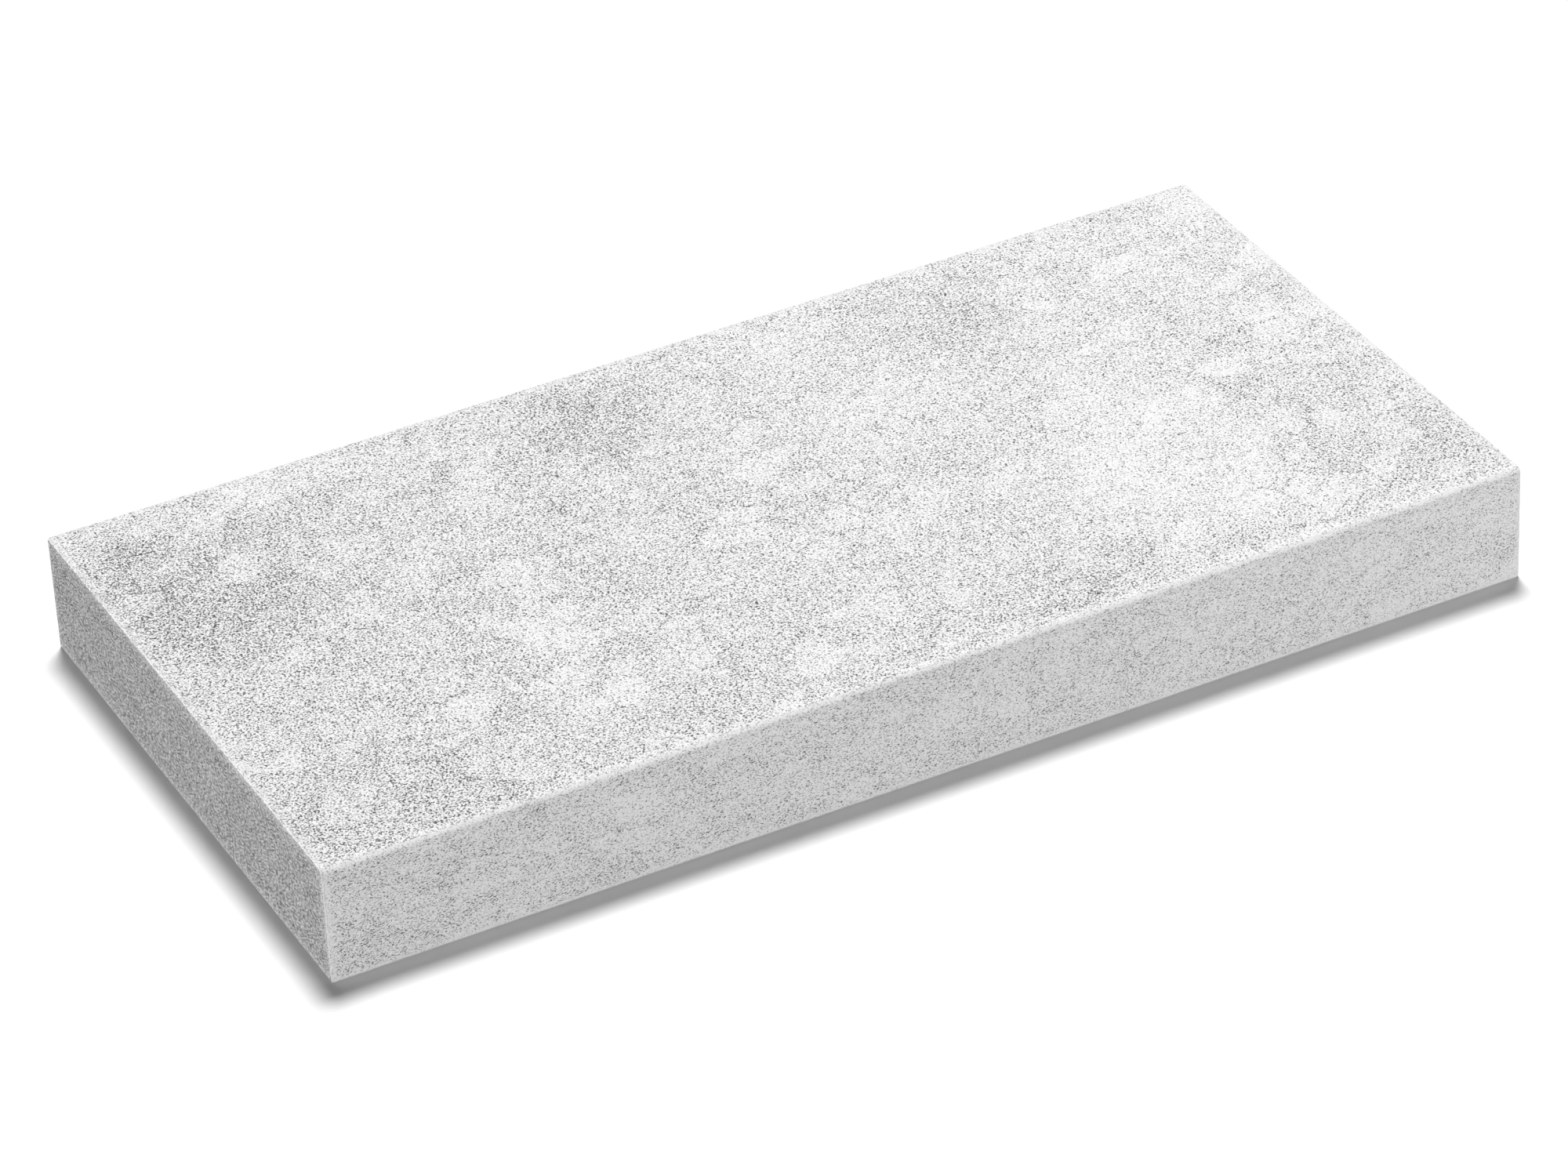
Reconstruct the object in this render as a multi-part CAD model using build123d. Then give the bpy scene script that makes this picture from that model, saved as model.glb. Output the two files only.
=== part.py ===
from build123d import *
import os

# A pool coping sawn from one block of marble.
# X runs along the pool's edge, -Y faces the water, +Y faces the deck and +Z is up.
# The origin is the middle of the bed face, which lies on the mortar.

# Driving dimensions in millimetres
length = 600.0  # along the pool's edge, from joint to joint
width = 300.0  # from the water side to the deck side
thickness = 60.0  # from the bed face to the walking face
pool_edge_radius = 4.0  # eased long edge between the walking face and the water side
arris = 0.8  # leg of the small 45 degree chamfer on every other sawn edge


def slab_section():
    """Closed outline across the slab: Y to the right, Z up, with the water side at the left."""
    water_side = -width / 2
    deck_side = width / 2
    with BuildSketch(Plane.YZ) as section:
        with BuildLine():
            sawn_sides = Polyline(
                (water_side, thickness - pool_edge_radius),
                (water_side, arris),
                (water_side + arris, 0),
                (deck_side - arris, 0),
                (deck_side, arris),
                (deck_side, thickness - arris),
                (deck_side - arris, thickness),
                (water_side + pool_edge_radius, thickness),
            )
            # The eased edge leaves the walking face smoothly and turns down into the water side.
            TangentArc(sawn_sides @ 1, sawn_sides @ 0, tangent=sawn_sides % 1)
        make_face()
    return section.sketch


def coping_slab():
    """The section run along the slab, with an arris that follows it round both joint ends."""
    slab = extrude(slab_section(), amount=length / 2, both=True)
    joint_ends = slab.faces().filter_by(Axis.X)
    return chamfer(joint_ends.edges(), arris)


os.makedirs("parts", exist_ok=True)
export_step(coping_slab(), "parts/coping_slab.step")
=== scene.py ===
import math

import bpy
import numpy as np
from mathutils import Matrix, Vector, noise


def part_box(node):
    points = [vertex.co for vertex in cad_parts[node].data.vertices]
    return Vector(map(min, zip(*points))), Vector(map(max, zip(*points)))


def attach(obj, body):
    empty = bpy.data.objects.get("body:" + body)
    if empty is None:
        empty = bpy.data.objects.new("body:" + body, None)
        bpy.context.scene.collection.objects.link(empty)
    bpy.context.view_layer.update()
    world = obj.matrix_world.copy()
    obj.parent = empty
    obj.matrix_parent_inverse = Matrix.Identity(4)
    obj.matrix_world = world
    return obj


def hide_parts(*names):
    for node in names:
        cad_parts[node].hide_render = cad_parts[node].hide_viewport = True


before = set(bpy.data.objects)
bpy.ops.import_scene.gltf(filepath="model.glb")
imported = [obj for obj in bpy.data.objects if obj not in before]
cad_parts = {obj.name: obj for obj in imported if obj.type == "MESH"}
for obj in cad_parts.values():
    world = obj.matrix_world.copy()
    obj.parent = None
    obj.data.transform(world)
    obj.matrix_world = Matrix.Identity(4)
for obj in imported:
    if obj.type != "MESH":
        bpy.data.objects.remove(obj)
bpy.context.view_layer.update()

# The slab, in metres
MM = 0.001
NODE = "coping_slab"
LOW, HIGH = (np.array(corner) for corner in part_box(NODE))
CENTRE = (LOW + HIGH) / 2
HALF = (HIGH - LOW) / 2
LENGTH = float(HIGH[0] - LOW[0])
ARRIS = 0.8 * MM  # leg of the chamfer on the sawn edges
EASE_RADIUS = 4.0 * MM  # long edge between the walking face and the water side
EASE_LINES = 5  # grid lines on each half of the eased edge
GRID_STEP = 2.4 * MM  # spacing of the mesh over the faces

# Relief of the stone. Hollows, marks and wear are cut inwards, and the ease's wandering stays under
# the sharp corner, so the piece stays inside the CAD box.
NOISE_MIDDLE = 0.5  # of a noise that runs from 0 to 1
EASE_WANDER = 0.7 * MM  # how far the hand-worked ease departs from its radius
EASE_WANDER_LENGTH = 28 * MM
EASE_WANDER_LINE = (3.7, 0.5)  # where in the noise the line of that wandering lies
BLASTED_DEPTH = 0.22 * MM
BLASTED_LENGTHS = (11 * MM, 5.2 * MM)  # size of the hollows that blasting leaves
BLASTED_SHARES = (0.6, 0.4)  # of the two sizes in the depth
HOLLOW_CONTRAST = 0.75
SAWN_DEPTH = 0.09 * MM
SAWN_PITCH = 8.5 * MM  # spacing of the saw's marks
SAWN_DRIFT_LENGTHS = np.array([90, 90, 20]) * MM  # size of the places where those marks wander
SAWN_SWAY = 3.0  # how far they wander, in radians
SAWN_MARKS, SAWN_UNEVEN = 0.3, 0.2  # shares of the marks and of the wandering in the depth
BLASTED_UP, BLASTED_FORWARD = 0.3, 0.6  # a normal that far up or towards the water is a blasted face's
LEVEL_FACE = 0.6  # a normal that far up or down is the bed's
ARRIS_WEAR = 0.16 * MM  # deepest wear of the arrises, uneven over the length below
ARRIS_WEAR_LENGTH = 6 * MM
SMOOTH_BELOW = 30  # degrees between faces, above which their edge is shaded sharp
TINY = 1e-9


def even_lines(start, end):
    """Evenly spaced grid lines between two places, without the places themselves."""
    count = max(1, round((end - start) / GRID_STEP))
    return list(np.linspace(start, end, count + 1)[1:-1])


def grid_lines():
    """Grid lines along X, Y and Z: close together where an edge is shaped, even elsewhere."""
    ease = [EASE_RADIUS * step / EASE_LINES for step in range(EASE_LINES + 1)]
    ends_x = ([LOW[0], LOW[0] + ARRIS], [HIGH[0] - ARRIS, HIGH[0]])
    ends_y = ([LOW[1] + depth for depth in ease], [HIGH[1] - ARRIS, HIGH[1]])
    ends_z = ([LOW[2], LOW[2] + ARRIS], [HIGH[2] - depth for depth in reversed(ease)])
    ends = (ends_x, ends_y, ends_z)
    return [np.array(low + even_lines(low[-1], high[0]) + high) for low, high in ends]


def box_surface(lines):
    """The points and outward quads of a box whose sides carry the grid lines."""
    counts = [len(line) for line in lines]
    index = np.indices(counts)
    on_side = np.zeros(counts, bool)
    for axis, count in enumerate(counts):
        on_side |= (index[axis] == 0) | (index[axis] == count - 1)
    number = np.full(counts, -1)
    number[on_side] = np.arange(on_side.sum())
    points = np.stack([lines[axis][index[axis][on_side]] for axis in range(3)], axis=1)
    quads = []
    for axis in range(3):
        for end in (0, -1):
            sheet = np.take(number, end, axis=axis)
            around = [sheet[:-1, :-1], sheet[1:, :-1], sheet[1:, 1:], sheet[:-1, 1:]]
            # Y's sheet runs along X then Z, which turns its quads the other way.
            faces_out = (end == -1) != (axis == 1)
            quads.append(np.stack(around if faces_out else around[::-1], axis=-1).reshape(-1, 4))
    return points, np.concatenate(quads)


def wander(place):
    """Smooth noise along X, between -1 and 1."""
    return np.array([noise.noise(Vector((x / EASE_WANDER_LENGTH, *EASE_WANDER_LINE))) for x in place])


def noise_at(points, lengths):
    """Smooth noise with features of those lengths, between -1 and 1."""
    return np.array([noise.noise(Vector(p)) for p in points / lengths])


def ease_span(points):
    """How far the points lie in from the water side, and down from the walking face."""
    return points[:, 1] - LOW[1], HIGH[2] - points[:, 2]


def round_ease(points):
    """Draws the points of the sharp water edge in onto the arc of the eased edge.

    It also returns which points those are, and each point's offset from the arc's axis.
    """
    from_water, from_top = ease_span(points)
    radius = EASE_RADIUS + EASE_WANDER * wander(points[:, 0])
    square = np.stack([radius - from_water, radius - from_top], axis=1)
    eased = (square > 0).all(1)
    pull = square.max(1) / np.maximum(np.hypot(*square.T), TINY)
    offset = square * pull[:, None]
    rounded = points.copy()
    rounded[eased, 1] = LOW[1] + (radius - offset[:, 0])[eased]
    rounded[eased, 2] = HIGH[2] - (radius - offset[:, 1])[eased]
    return rounded, eased, offset


def arris_inset(points):
    """How far the worn arris sets each point in, along both faces that meet there."""
    wear = (1 + noise_at(points, ARRIS_WEAR_LENGTH)) / 2
    return ARRIS / 2 + ARRIS_WEAR * wear


def shape_edges(points):
    """Moves the sharp box's points onto the eased edge and the arrises."""
    shaped, eased, offset = round_ease(points)
    on_end = np.abs(np.abs(points - CENTRE) - HALF) < TINY
    from_water, from_top = ease_span(points)
    over_water_edge = (from_water < EASE_RADIUS + TINY) & (from_top < EASE_RADIUS + TINY)
    inset = arris_inset(points)
    towards_middle = np.sign(CENTRE - points)

    # The ends' arris follows the outline, round the eased edge too.
    end_edge = on_end[:, 0] & (on_end[:, 1] | on_end[:, 2])
    shaped[end_edge, 0] += (towards_middle[:, 0] * inset)[end_edge]
    around_ease = end_edge & over_water_edge & eased
    direction = offset / np.maximum(np.hypot(*offset.T), TINY)[:, None]
    shaped[around_ease, 1] += (direction[:, 0] * inset)[around_ease]
    shaped[around_ease, 2] -= (direction[:, 1] * inset)[around_ease]

    # The rest of the ends' edges, and the three sharp long edges
    long_edge = on_end[:, 1] & on_end[:, 2] & ~on_end[:, 0] & ~over_water_edge
    for axis in (1, 2):
        plain = (end_edge & on_end[:, axis] & ~around_ease) | long_edge
        shaped[plain, axis] += (towards_middle[:, axis] * inset)[plain]
    return shaped


def outward(points, quads):
    """Unit normals of the points, as the mean of the faces that meet there."""
    a, b, c, d = (points[quads[:, corner]] for corner in range(4))
    across = np.cross(c - a, d - b)
    normals = np.zeros_like(points)
    for corner in range(4):
        np.add.at(normals, quads[:, corner], across)
    return normals / np.linalg.norm(normals, axis=1)[:, None]


def blasted_depth(points):
    """Shallow hollows of two sizes."""
    hollows = np.zeros(len(points))
    for length, share in zip(BLASTED_LENGTHS, BLASTED_SHARES):
        hollows += share * noise_at(points, length)
    return BLASTED_DEPTH * np.clip(NOISE_MIDDLE + HOLLOW_CONTRAST * hollows, 0, 1)


def sawn_depth(points, normals):
    """The saw's marks, which run along Y on the joint ends, and along X on the deck side and the bed."""
    across_saw = np.where(np.abs(normals[:, 2]) > LEVEL_FACE, points[:, 1], points[:, 2])
    drift = noise_at(points, SAWN_DRIFT_LENGTHS)
    waves = np.sin(2 * math.pi * across_saw / SAWN_PITCH + SAWN_SWAY * drift)
    return SAWN_DEPTH * np.clip(NOISE_MIDDLE + SAWN_MARKS * waves + SAWN_UNEVEN * drift, 0, 1)


def relief_depth(points, normals):
    """How deep the surface lies under the CAD's at each point.

    The walking face and the water side are blasted, and the other faces are sawn.
    """
    blasted = (normals[:, 2] > BLASTED_UP) | (normals[:, 1] < -BLASTED_FORWARD)
    return np.where(blasted, blasted_depth(points), sawn_depth(points, normals))


def coping_mesh():
    """The slab as one closed mesh of quads."""
    points, quads = box_surface(grid_lines())
    points = shape_edges(points)
    normals = outward(points, quads)
    points = points - normals * relief_depth(points, normals)[:, None]
    mesh = bpy.data.meshes.new("coping")
    mesh.from_pydata(points.tolist(), [], quads.tolist())
    mesh.update()
    mesh.shade_smooth()
    mesh.set_sharp_from_angle(angle=math.radians(SMOOTH_BELOW))
    piece = bpy.data.objects.new("coping", mesh)
    bpy.context.scene.collection.objects.link(piece)
    return piece


LATTICE_TURN = (0.5, 0.7, 0.3)  # radians, so that no face lies along the lattice that noise is made on


class Nodes:
    """Short calls for building one material's node tree.

    A value is a number, a colour or another node's output.
    """

    def __init__(self, name):
        self.material = bpy.data.materials.new(name)
        self.material.use_nodes = True
        self.tree = self.material.node_tree
        self.tree.nodes.clear()

    def add(self, kind, **settings):
        """A new node with those settings."""
        node = self.tree.nodes.new(kind)
        for name, value in settings.items():
            setattr(node, name, value)
        return node

    def plug(self, socket, value):
        """Feeds a value into a socket."""
        if isinstance(value, bpy.types.NodeSocket):
            self.tree.links.new(value, socket)
        else:
            socket.default_value = value

    def math(self, operation, *values, clamp=False):
        """One step of arithmetic on numbers."""
        node = self.add("ShaderNodeMath", operation=operation, use_clamp=clamp)
        for socket, value in zip(node.inputs, values):
            self.plug(socket, value)
        return node.outputs[0]

    def vector(self, operation, *values):
        """One step of arithmetic on vectors, which gives a vector."""
        node = self.add("ShaderNodeVectorMath", operation=operation)
        for socket, value in zip(node.inputs, values):
            self.plug(socket, value)
        return node.outputs[0]

    def split(self, vector):
        """The three parts of a vector."""
        node = self.add("ShaderNodeSeparateXYZ")
        self.plug(node.inputs[0], vector)
        return node.outputs

    def stretch(self, place, x, y, z):
        """The place with each of its parts multiplied."""
        node = self.add("ShaderNodeCombineXYZ")
        for socket, value in zip(node.inputs, (x, y, z)):
            self.plug(socket, value)
        return self.vector("MULTIPLY", place, node.outputs[0])

    def ramp(self, value, low, high, to_low=0.0, to_high=1.0):
        """value's way from low to high, smoothly, as to_low to to_high."""
        node = self.add("ShaderNodeMapRange", interpolation_type="SMOOTHSTEP")
        for socket, number in zip(node.inputs, (value, low, high, to_low, to_high)):
            self.plug(socket, number)
        return node.outputs[0]

    def mix(self, share, first, second):
        """The first colour where share is 0, the second where it is 1."""
        node = self.add("ShaderNodeMix", data_type="RGBA")
        sockets = {socket.identifier: socket for socket in node.inputs}
        for name, value in (("Factor_Float", share), ("A_Color", first), ("B_Color", second)):
            self.plug(sockets[name], value)
        return next(socket for socket in node.outputs if socket.identifier == "Result_Color")

    def mix_number(self, share, first, second):
        """The first number where share is 0, the second where it is 1."""
        return self.math("MULTIPLY_ADD", share, second - first, first)

    def noise(self, place, size, detail=0.0, roughness=0.5, offset=(0, 0, 0)):
        """Noise with features of about that size in metres, between 0 and 1 with its middle at 0.5."""
        turned = self.add("ShaderNodeMapping")
        self.plug(turned.inputs["Vector"], place)
        turned.inputs["Location"].default_value = offset
        turned.inputs["Rotation"].default_value = LATTICE_TURN
        node = self.add("ShaderNodeTexNoise", noise_dimensions="3D")
        self.tree.links.new(turned.outputs[0], node.inputs["Vector"])
        node.inputs["Scale"].default_value = 1 / size
        node.inputs["Detail"].default_value = detail
        node.inputs["Roughness"].default_value = roughness
        return node.outputs["Fac"]

    def noise_colour(self, place, size, detail=0.0):
        """Three noises in one colour."""
        return self.noise(place, size, detail).node.outputs["Color"]

    def voronoi(self, place, size, feature):
        """Cells of about that size in metres."""
        node = self.add("ShaderNodeTexVoronoi", feature=feature)
        self.plug(node.inputs["Vector"], place)
        node.inputs["Scale"].default_value = 1 / size
        return node

    def chance(self, cells):
        """A random number from 0 to 1 for each cell."""
        node = self.add("ShaderNodeSeparateColor")
        self.plug(node.inputs[0], cells.outputs["Color"])
        return node.outputs[0]

    def length(self, vector):
        """The length of a vector."""
        node = self.add("ShaderNodeVectorMath", operation="LENGTH")
        self.plug(node.inputs[0], vector)
        return node.outputs["Value"]

    def finish(self, colour, roughness, height, depth, specular):
        """The finished material, bumped by height times depth."""
        bump = self.add("ShaderNodeBump")
        bump.inputs["Strength"].default_value = 1.0
        bump.inputs["Distance"].default_value = depth
        self.plug(bump.inputs["Height"], height)
        shader = self.add("ShaderNodeBsdfPrincipled")
        self.plug(shader.inputs["Base Color"], colour)
        self.plug(shader.inputs["Roughness"], roughness)
        shader.inputs["Specular IOR Level"].default_value = specular
        self.plug(shader.inputs["Normal"], bump.outputs[0])
        output = self.add("ShaderNodeOutputMaterial")
        self.tree.links.new(shader.outputs[0], output.inputs["Surface"])
        return self.material


def grey(level):
    return (level, level, level, 1.0)


# Colours of the stone, as linear light
STONE = grey(0.92)
SPECK = grey(0.28)
PIT = grey(0.06)
CREAM = (0.84, 0.82, 0.77, 1.0)  # pale arrises: partly fresh stone, partly a painted highlight where the arrises catch the light

# Which face a place is on, told by its normal
SQUARE_ON = 0.85  # least part along an axis on the face square to it
TOP_SPAN = (0.6, 0.95)  # upward part where the walking face begins, and where it is in full
EASE_GAIN, EASE_LIFT = 1.6, 0.25  # how soon a face that turns up from the water counts as the ease

# Grain. Noise runs from 0 to 1 with its middle at 0.5, and specks are its low places.
GRAIN_SIZE, GRAIN_DETAIL, GRAIN_ROUGHNESS = 0.95 * MM, 1.5, 0.55
GRAIN_SPAN = (0.58, 0.30)  # noise where a speck starts, and where it is darkest
PIT_SPAN, PIT_STRENGTH = (0.40, 0.32), 0.85  # the same for the dark pits in the specks
UPRIGHT_SQUEEZE, END_SQUEEZE = 1.8, 3.0  # grains are this much lower than long on the upright faces
SAWN_DRAW = 0.55  # the saw draws the grains out along its way by the inverse of this
END_CONTRAST = 1.75  # of the grain on the joint ends
FAINTER = 0.70  # strength of the specks on the water side, the deck side and the bed

# Dark mineral dots, scattered in the stone
DOT_SPACING, DOT_REACH, DOT_CORE = 2.0 * MM, 0.50 * MM, 0.30 * MM
DOT_SHARE = (0.50, 0.60)  # chance from which a dot starts to show, and shows in full
DOT_CROWD = 3.0  # how much more likely dots are where specks crowd
DOT_SQUEEZE, DOT_DRAW = 1.6, 0.6  # dots on the joint ends are lower and longer by this
DOT_FAINTER = 0.45  # strength of the dots where specks are fainter

# Clouds, as shifts of the noise that let specks crowd where they are above 0
CLOUD_SIZE, CLOUD_DETAIL, CLOUD_SHIFT = 40 * MM, 3.0, 0.09
PATCH_SIZE, PATCH_DETAIL, PATCH_SHIFT = 9 * MM, 2.0, 0.09
PATCH_OFFSET = (3, 1, 2)  # keeps the patches from following the clouds
CLOUD_ROUGHNESS = 0.6
CRYSTAL_SIZE = 21 * MM
CRYSTAL_WARP, CRYSTAL_WARP_SIZE = 9 * MM, 14 * MM  # how far their outline wanders, and over what length
CRYSTAL_WARP_DETAIL = 2.0
CRYSTAL_SHIFT = -0.034
CRYSTAL_SHARE = (0.64, 0.96)  # crystals are pale from the first share of them on, palest at the second
SEAM_SHIFT, SEAM_WIDTH = 0.027, 2.4 * MM  # darker seams between the crystals
SEAM_BREAK_SIZE, SEAM_BREAK_SPAN = 25 * MM, (0.40, 0.60)  # noise that breaks the seams up
SEAM_BREAK_DETAIL, SEAM_BREAK_OFFSET = 1.0, (7, 5, 1)
CLOUDS_ON_ENDS = 0.5  # strength of the clouds on the joint ends
CLOUD_SQUEEZE = 2.2  # clouds are this much lower than long on the upright faces
END_SHIFT = 0.036  # more specks on the joint ends
LEFT_SPECKS_AND_SHADE, LEFT_SPECKS_AND_SHADE_TOP = 0.012, 0.020  # more specks towards the left joint end, fewer towards the right one: partly denser grain, partly painted shade for light that comes from the right
# The largest clouds of the walking face: middle, reach along X and Y in millimetres, and shift
BROAD_CLOUDS = (
    ((165, -65), (60, 62), -0.032),
    ((-215, 138), (75, 18), -0.040),
    ((95, 60), (45, 40), -0.015),
    ((-255, 80), (70, 75), 0.028),
    ((-48, 115), (45, 50), 0.030),
    ((140, 110), (40, 45), 0.025),
    ((-255, -125), (60, 45), 0.025),
    ((75, -122), (50, 30), 0.025),
    ((262, -75), (50, 90), 0.030),
)
BROAD_SPAN = (1.2, 0.5)  # a broad cloud starts and is full at these shares of its reach

# Edges, where the specks give way to an even, paler tone: partly wear from handling, partly painted
# light (a painted highlight along the edges, and a painted lift of the bottom edges out of their shade)
WORN_AND_LIT_START, WORN_AND_LIT_END, WORN_AND_LIT_END_TOP, WORN_AND_LIT_END_SAWN = 0.8 * MM, 4.5 * MM, 6.0 * MM, 8.0 * MM
WORN_AND_LIT_SHARE, WORN_AND_LIT_SHARE_PLAIN = 0.42, 0.65  # on the walking face and the ends, and on other faces
WORN_AND_LIT_SPECK, WORN_AND_LIT_SPECK_EASE, WORN_AND_LIT_SPECK_SAWN = 0.02, 0.34, 0.0  # strength of the even tone
WORN_AND_LIT_SPECK_TOP, WORN_AND_LIT_SPECK_TOP_WATER = 0.20, 0.0  # on the walking face, and close to its eased edge
WATER_BAND = (12 * MM, 6 * MM)  # distance from the water side over which the second takes over
CREAM_SPAN, CREAM_SHARE = (0.60 * MM, 0.42 * MM), 0.9  # the arrises, by their distance to the edge

# Bump and gloss
BUMP_DEPTH = 0.5 * MM
BUMP_EDGE_SPAN, BUMP_AT_EDGE = (0.5 * MM, 4.0 * MM), 0.25  # the bump fades towards the edges
BUMP_SAWN = 0.6  # strength of the bump on the sawn faces
GLOSS_SPAN, SPECK_ROUGHNESS, STONE_ROUGHNESS = (0.3, 0.7), 0.9, 0.75
SPECULAR = 0.3


def edge_distance(n, place):
    """Distance to the nearest edge: the middle one of the depths under the three pairs of faces."""
    parts = n.split(place)
    depths = []
    for axis in range(3):
        from_centre = n.math("SUBTRACT", parts[axis], float(CENTRE[axis]))
        depths.append(n.math("SUBTRACT", float(HALF[axis]), n.math("ABSOLUTE", from_centre)))
    a, b, c = depths
    return n.math("MAXIMUM", n.math("MINIMUM", a, b), n.math("MINIMUM", n.math("MAXIMUM", a, b), c))


def centred(n, noise_level, shift):
    """A low place in the noise as a positive shift."""
    return n.math("MULTIPLY", n.math("SUBTRACT", NOISE_MIDDLE, noise_level), shift)


def broad_clouds(n, place):
    """Sum of the listed clouds, which run through the slab from face to bed."""
    total = 0.0
    for middle, reach, shift in BROAD_CLOUDS:
        offset = n.vector("SUBTRACT", place, (middle[0] * MM, middle[1] * MM, 0))
        scaled = n.vector("MULTIPLY", offset, (1 / (reach[0] * MM), 1 / (reach[1] * MM), 0))
        total = n.math("ADD", total, n.ramp(n.length(scaled), *BROAD_SPAN, 0.0, shift))
    return total


def crystals(n, place):
    """The warped place, and the shift of rounded cells: some pale, with broken darker seams between."""
    warp = n.noise_colour(place, CRYSTAL_WARP_SIZE, detail=CRYSTAL_WARP_DETAIL)
    warp = n.vector("SUBTRACT", warp, (NOISE_MIDDLE,) * 3)
    place = n.vector("ADD", place, n.vector("MULTIPLY", warp, (CRYSTAL_WARP,) * 3))
    share = n.chance(n.voronoi(place, CRYSTAL_SIZE, "F1"))
    to_edge = n.voronoi(place, CRYSTAL_SIZE, "DISTANCE_TO_EDGE").outputs["Distance"]
    inwards = n.math("MULTIPLY", to_edge, CRYSTAL_SIZE)
    pale = n.ramp(share, *CRYSTAL_SHARE, 0.0, CRYSTAL_SHIFT)
    pale = n.math("MULTIPLY", pale, n.ramp(inwards, 0.0, SEAM_WIDTH))
    breaks = n.noise(place, SEAM_BREAK_SIZE, detail=SEAM_BREAK_DETAIL, offset=SEAM_BREAK_OFFSET)
    seam = n.ramp(inwards, SEAM_WIDTH, 0.0, 0.0, SEAM_SHIFT)
    seam = n.math("MULTIPLY", seam, n.ramp(breaks, *SEAM_BREAK_SPAN))
    return place, n.math("ADD", pale, seam)


def crowding(n, place, on_top, on_joint_end):
    """Shift of the grain's noise at each place."""
    place = n.vector("MULTIPLY", place, (1, 1, CLOUD_SQUEEZE))
    clouds = n.noise(place, CLOUD_SIZE, CLOUD_DETAIL, CLOUD_ROUGHNESS)
    patches = n.noise(place, PATCH_SIZE, PATCH_DETAIL, CLOUD_ROUGHNESS, PATCH_OFFSET)
    crowd = n.math("ADD", centred(n, clouds, CLOUD_SHIFT), centred(n, patches, PATCH_SHIFT))
    warped, in_crystals = crystals(n, place)
    crowd = n.math("ADD", crowd, in_crystals)
    crowd = n.math("MULTIPLY", crowd, n.mix_number(on_joint_end, 1.0, CLOUDS_ON_ENDS))
    crowd = n.math("MULTIPLY_ADD", broad_clouds(n, warped), on_top, crowd)
    crowd = n.math("MULTIPLY_ADD", on_joint_end, END_SHIFT, crowd)
    # Darker towards the left: partly denser grain, partly painted shade for light that comes from the
    # right.
    leftward = n.math("DIVIDE", n.split(place)[0], -float(HALF[0]))
    return n.math("MULTIPLY_ADD", leftward, n.mix_number(on_top, LEFT_SPECKS_AND_SHADE, LEFT_SPECKS_AND_SHADE_TOP), crowd)


def grain_level(n, place, crowd, on_joint_end, sawn_along_x):
    """Noise of the grain, drawn out along the saw's way. Specks are its low places."""
    drawn = n.stretch(place, n.mix_number(sawn_along_x, 1.0, SAWN_DRAW),
                      n.mix_number(on_joint_end, 1.0, SAWN_DRAW),
                      n.mix_number(on_joint_end, UPRIGHT_SQUEEZE, END_SQUEEZE))
    grain = n.noise(drawn, GRAIN_SIZE, GRAIN_DETAIL, GRAIN_ROUGHNESS)
    contrast = n.mix_number(on_joint_end, 1.0, END_CONTRAST)
    middle = n.math("SUBTRACT", NOISE_MIDDLE, crowd)
    return n.math("MULTIPLY_ADD", n.math("SUBTRACT", grain, NOISE_MIDDLE), contrast, middle)


def dots(n, place, crowd, on_joint_end):
    """1 in the middle of each dark dot, 0 between them."""
    drawn = n.stretch(place, 1.0, n.mix_number(on_joint_end, 1.0, DOT_DRAW),
                      n.mix_number(on_joint_end, 1.0, DOT_SQUEEZE))
    cells = n.voronoi(drawn, DOT_SPACING, "F1")
    shows = n.ramp(n.math("MULTIPLY_ADD", crowd, DOT_CROWD, n.chance(cells)), *DOT_SHARE)
    from_middle = cells.outputs["Distance"]
    inside = n.ramp(from_middle, DOT_REACH / DOT_SPACING, DOT_CORE / DOT_SPACING)
    return n.math("MULTIPLY", inside, shows)


def wear_and_edge_light(n, place, edge, on_joint_end, on_top, on_ease, bold):
    """How far the pale band at the edges takes the specks, and the strength of the even tone left there.
    The band is partly wear and partly painted light on the edges.
    """
    band_end = n.math("MAXIMUM", n.mix_number(on_joint_end, WORN_AND_LIT_END, WORN_AND_LIT_END_SAWN),
                      n.math("MULTIPLY", on_top, WORN_AND_LIT_END_TOP))
    share = n.mix_number(bold, WORN_AND_LIT_SHARE_PLAIN, WORN_AND_LIT_SHARE)
    worn_and_lit = n.ramp(edge, WORN_AND_LIT_START, band_end, share, 0.0)
    from_water = n.math("SUBTRACT", n.split(place)[1], float(LOW[1]))
    top_tone = n.ramp(from_water, *WATER_BAND, WORN_AND_LIT_SPECK_TOP, WORN_AND_LIT_SPECK_TOP_WATER)
    tone = n.mix_number(on_joint_end, WORN_AND_LIT_SPECK, WORN_AND_LIT_SPECK_SAWN)
    tone = n.math("MAXIMUM", tone, n.math("MULTIPLY", on_ease, WORN_AND_LIT_SPECK_EASE))
    tone = n.math("MAXIMUM", tone, n.math("MULTIPLY", on_top, top_tone))
    return worn_and_lit, tone


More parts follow.
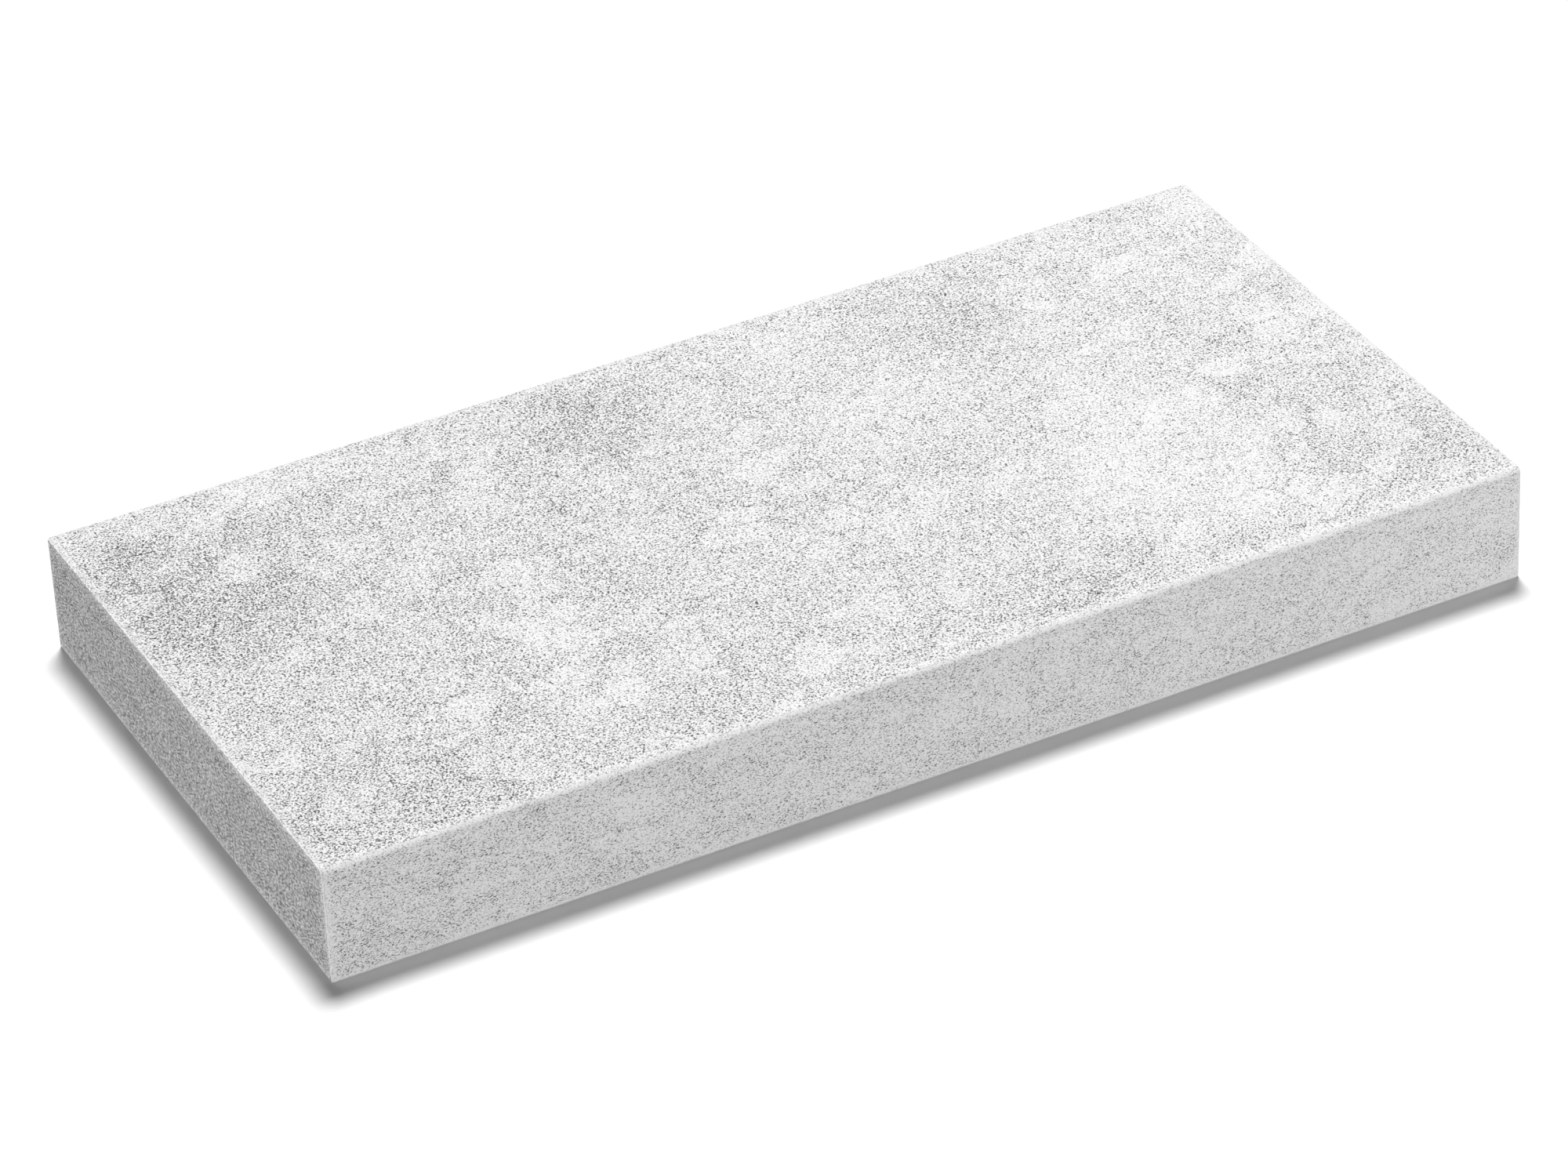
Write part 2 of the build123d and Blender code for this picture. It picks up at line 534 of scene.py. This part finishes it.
def which_face(n):
    """1 on each kind of face and 0 elsewhere: walking face, ease, joint ends, deck side with bed."""
    geometry = n.add("ShaderNodeNewGeometry")
    facing = n.split(geometry.outputs["True Normal"])
    on_joint_end = n.math("GREATER_THAN", n.math("ABSOLUTE", facing[0]), SQUARE_ON)
    on_deck_side = n.math("GREATER_THAN", facing[1], SQUARE_ON)
    on_bed = n.math("LESS_THAN", facing[2], -SQUARE_ON)
    on_top = n.ramp(facing[2], *TOP_SPAN)
    # The eased edge faces both up and towards the water.
    round_facing = n.split(geometry.outputs["Normal"])
    upward = n.math("ADD", round_facing[2], EASE_LIFT)
    on_ease = n.math("MULTIPLY", n.math("MULTIPLY", round_facing[1], -EASE_GAIN), upward, clamp=True)
    return on_top, on_ease, on_joint_end, n.math("MAXIMUM", on_deck_side, on_bed)


def speck_strength(n, level, bold, worn_and_lit, tone):
    """How much of the speck colour shows."""
    speck = n.math("MULTIPLY", n.ramp(level, *GRAIN_SPAN), n.mix_number(bold, FAINTER, 1.0))
    speck = n.math("MULTIPLY", speck, n.math("SUBTRACT", 1.0, worn_and_lit))
    return n.math("MULTIPLY_ADD", worn_and_lit, tone, speck)


def pit_strength(n, level, dot, bold, worn_and_lit):
    """How much of the pit colour shows, in the deepest specks and in the dots."""
    dot = n.math("MULTIPLY", dot, n.mix_number(bold, DOT_FAINTER, 1.0))
    pit = n.math("MAXIMUM", n.ramp(level, *PIT_SPAN), dot)
    pit = n.math("MULTIPLY", pit, n.math("SUBTRACT", PIT_STRENGTH, worn_and_lit))
    return n.math("MAXIMUM", pit, 0.0)


def marble():
    """Light marble: blasted on the walking face and the water side, sawn on the other faces."""
    n = Nodes("marble")
    place = n.add("ShaderNodeTexCoord").outputs["Object"]
    on_top, on_ease, on_joint_end, sawn_along_x = which_face(n)
    sawn = n.math("MAXIMUM", on_joint_end, sawn_along_x)
    bold = n.math("MAXIMUM", on_top, on_joint_end)

    crowd = crowding(n, place, on_top, on_joint_end)
    level = grain_level(n, place, crowd, on_joint_end, sawn_along_x)
    edge = edge_distance(n, place)
    # Pale edges: partly wear, partly painted light that lifts the edges, the bottom ones most, out of
    # their shade.
    worn_and_lit, tone = wear_and_edge_light(n, place, edge, on_joint_end, on_top, on_ease, bold)
    dot = dots(n, place, crowd, on_joint_end)
    colour = n.mix(speck_strength(n, level, bold, worn_and_lit, tone), STONE, SPECK)
    colour = n.mix(pit_strength(n, level, dot, bold, worn_and_lit), colour, PIT)
    # Painted highlight on the arrises, in the cream of fresh stone.
    colour = n.mix(n.ramp(edge, *CREAM_SPAN, 0.0, CREAM_SHARE), colour, CREAM)

    height = n.math("MULTIPLY", level, n.ramp(edge, *BUMP_EDGE_SPAN, BUMP_AT_EDGE, 1.0))
    height = n.math("MULTIPLY", height, n.mix_number(sawn, 1.0, BUMP_SAWN))
    roughness = n.ramp(level, *GLOSS_SPAN, SPECK_ROUGHNESS, STONE_ROUGHNESS)
    return n.finish(colour, roughness, height, BUMP_DEPTH, SPECULAR)


# Camera at the photo's viewing angle, fitted to the slab's seven visible corners
AZIMUTH, ELEVATION, ROLL = -26.19, 33.67, -2.923  # degrees
DISTANCE = 5.210  # in slab lengths
ASIDE, ABOVE = 0.0019, 0.0235  # from the line through the slab's middle, in slab lengths
FOCAL_PX = 8730  # for an image 2000 px wide
IMAGE_WIDTH_PX = 2000
SENSOR_MM = 36.0
CLIP_END = 100.0


def add_camera():
    """The scene's camera, aimed by the angles above."""
    az, el, roll = (math.radians(angle) for angle in (AZIMUTH, ELEVATION, ROLL))
    back = Vector((math.sin(az) * math.cos(el), -math.cos(az) * math.cos(el), math.sin(el)))
    level = Vector((math.cos(az), math.sin(az), 0))
    upright = back.cross(level)
    right = math.cos(roll) * level + math.sin(roll) * upright
    up = back.cross(right)
    place = Vector(CENTRE) + LENGTH * (DISTANCE * back - ASIDE * right - ABOVE * up)
    data = bpy.data.cameras.new("camera")
    data.sensor_width = SENSOR_MM
    data.lens = FOCAL_PX / IMAGE_WIDTH_PX * SENSOR_MM
    data.clip_end = CLIP_END
    camera = bpy.data.objects.new("camera", data)
    turn = Matrix((right, up, back)).transposed()
    camera.matrix_world = Matrix.Translation(place) @ turn.to_4x4()
    bpy.context.scene.collection.objects.link(camera)
    bpy.context.scene.camera = camera


# Studio: a soft lamp overhead, a little behind and to the right, a low one before the slab and a low
# one at its left. Each has a place and a size in metres, and a level.
KEY_PLACE, KEY_SIZE, KEY_LEVEL = (1.05, 2.05, 8.7), 2.2, 1.027
FILL_PLACE, FILL_SIZE, FILL_LEVEL = (1.6, -3.4, 0.15), 0.3, 0.585
SIDE_PLACE, SIDE_SIZE, SIDE_LEVEL = (-3.4, -0.8, 0.15), 0.3, 0.505
SKY_LEVEL = 0.06
FLOOR_BOUNCE, FLOOR_SEEN = 0.15, 0.96  # the floor's colour for all but the camera, and for the camera
FLOOR_SIZE = 30.0


def add_lamp(name, place, size, level):
    """A round softbox aimed at the slab. At level 1 it shows a white surface that faces it as white."""
    data = bpy.data.lights.new(name, "AREA")
    data.shape = "DISK"
    data.size = size
    reach = (Vector(place) - Vector(CENTRE)).length
    data.energy = level * math.pi * math.pi * reach ** 2
    lamp = bpy.data.objects.new(name, data)
    lamp.location = place
    lamp.rotation_euler = (Vector(CENTRE) - Vector(place)).to_track_quat("-Z", "Y").to_euler()
    bpy.context.scene.collection.objects.link(lamp)


def add_sky():
    """Plain light from all round, which the camera and reflections see as white."""
    world = bpy.data.worlds.new("studio")
    world.use_nodes = True
    tree = world.node_tree
    background = tree.nodes["Background"]
    background.inputs["Color"].default_value = grey(1.0)
    path = tree.nodes.new("ShaderNodeLightPath")
    seen = tree.nodes.new("ShaderNodeMath")
    seen.operation = "MAXIMUM"
    tree.links.new(path.outputs["Is Camera Ray"], seen.inputs[0])
    tree.links.new(path.outputs["Is Glossy Ray"], seen.inputs[1])
    strength = tree.nodes.new("ShaderNodeMapRange")
    tree.links.new(seen.outputs[0], strength.inputs["Value"])
    strength.inputs["To Min"].default_value = SKY_LEVEL
    strength.inputs["To Max"].default_value = 1.0
    tree.links.new(strength.outputs[0], background.inputs["Strength"])
    bpy.context.scene.world = world


def add_floor():
    """A level white floor under the slab. It shows the slab's shadow."""
    n = Nodes("floor")
    path = n.add("ShaderNodeLightPath")
    colour = n.mix(path.outputs["Is Camera Ray"], grey(FLOOR_BOUNCE), grey(FLOOR_SEEN))
    shader = n.add("ShaderNodeBsdfDiffuse")
    n.plug(shader.inputs["Color"], colour)
    output = n.add("ShaderNodeOutputMaterial")
    n.tree.links.new(shader.outputs[0], output.inputs["Surface"])
    mesh = bpy.data.meshes.new("floor")
    reach = FLOOR_SIZE / 2
    corners = [(-reach, -reach), (reach, -reach), (reach, reach), (-reach, reach)]
    mesh.from_pydata([(x, y, LOW[2]) for x, y in corners], [], [(0, 1, 2, 3)])
    mesh.materials.append(n.material)
    floor = bpy.data.objects.new("floor", mesh)
    bpy.context.scene.collection.objects.link(floor)


coping = coping_mesh()
coping.data.materials.append(marble())
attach(coping, "root")
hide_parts(NODE)
add_camera()
add_lamp("key", KEY_PLACE, KEY_SIZE, KEY_LEVEL)
add_lamp("fill", FILL_PLACE, FILL_SIZE, FILL_LEVEL)
add_lamp("side", SIDE_PLACE, SIDE_SIZE, SIDE_LEVEL)
add_sky()
add_floor()
bpy.context.scene.view_settings.view_transform = "Standard"
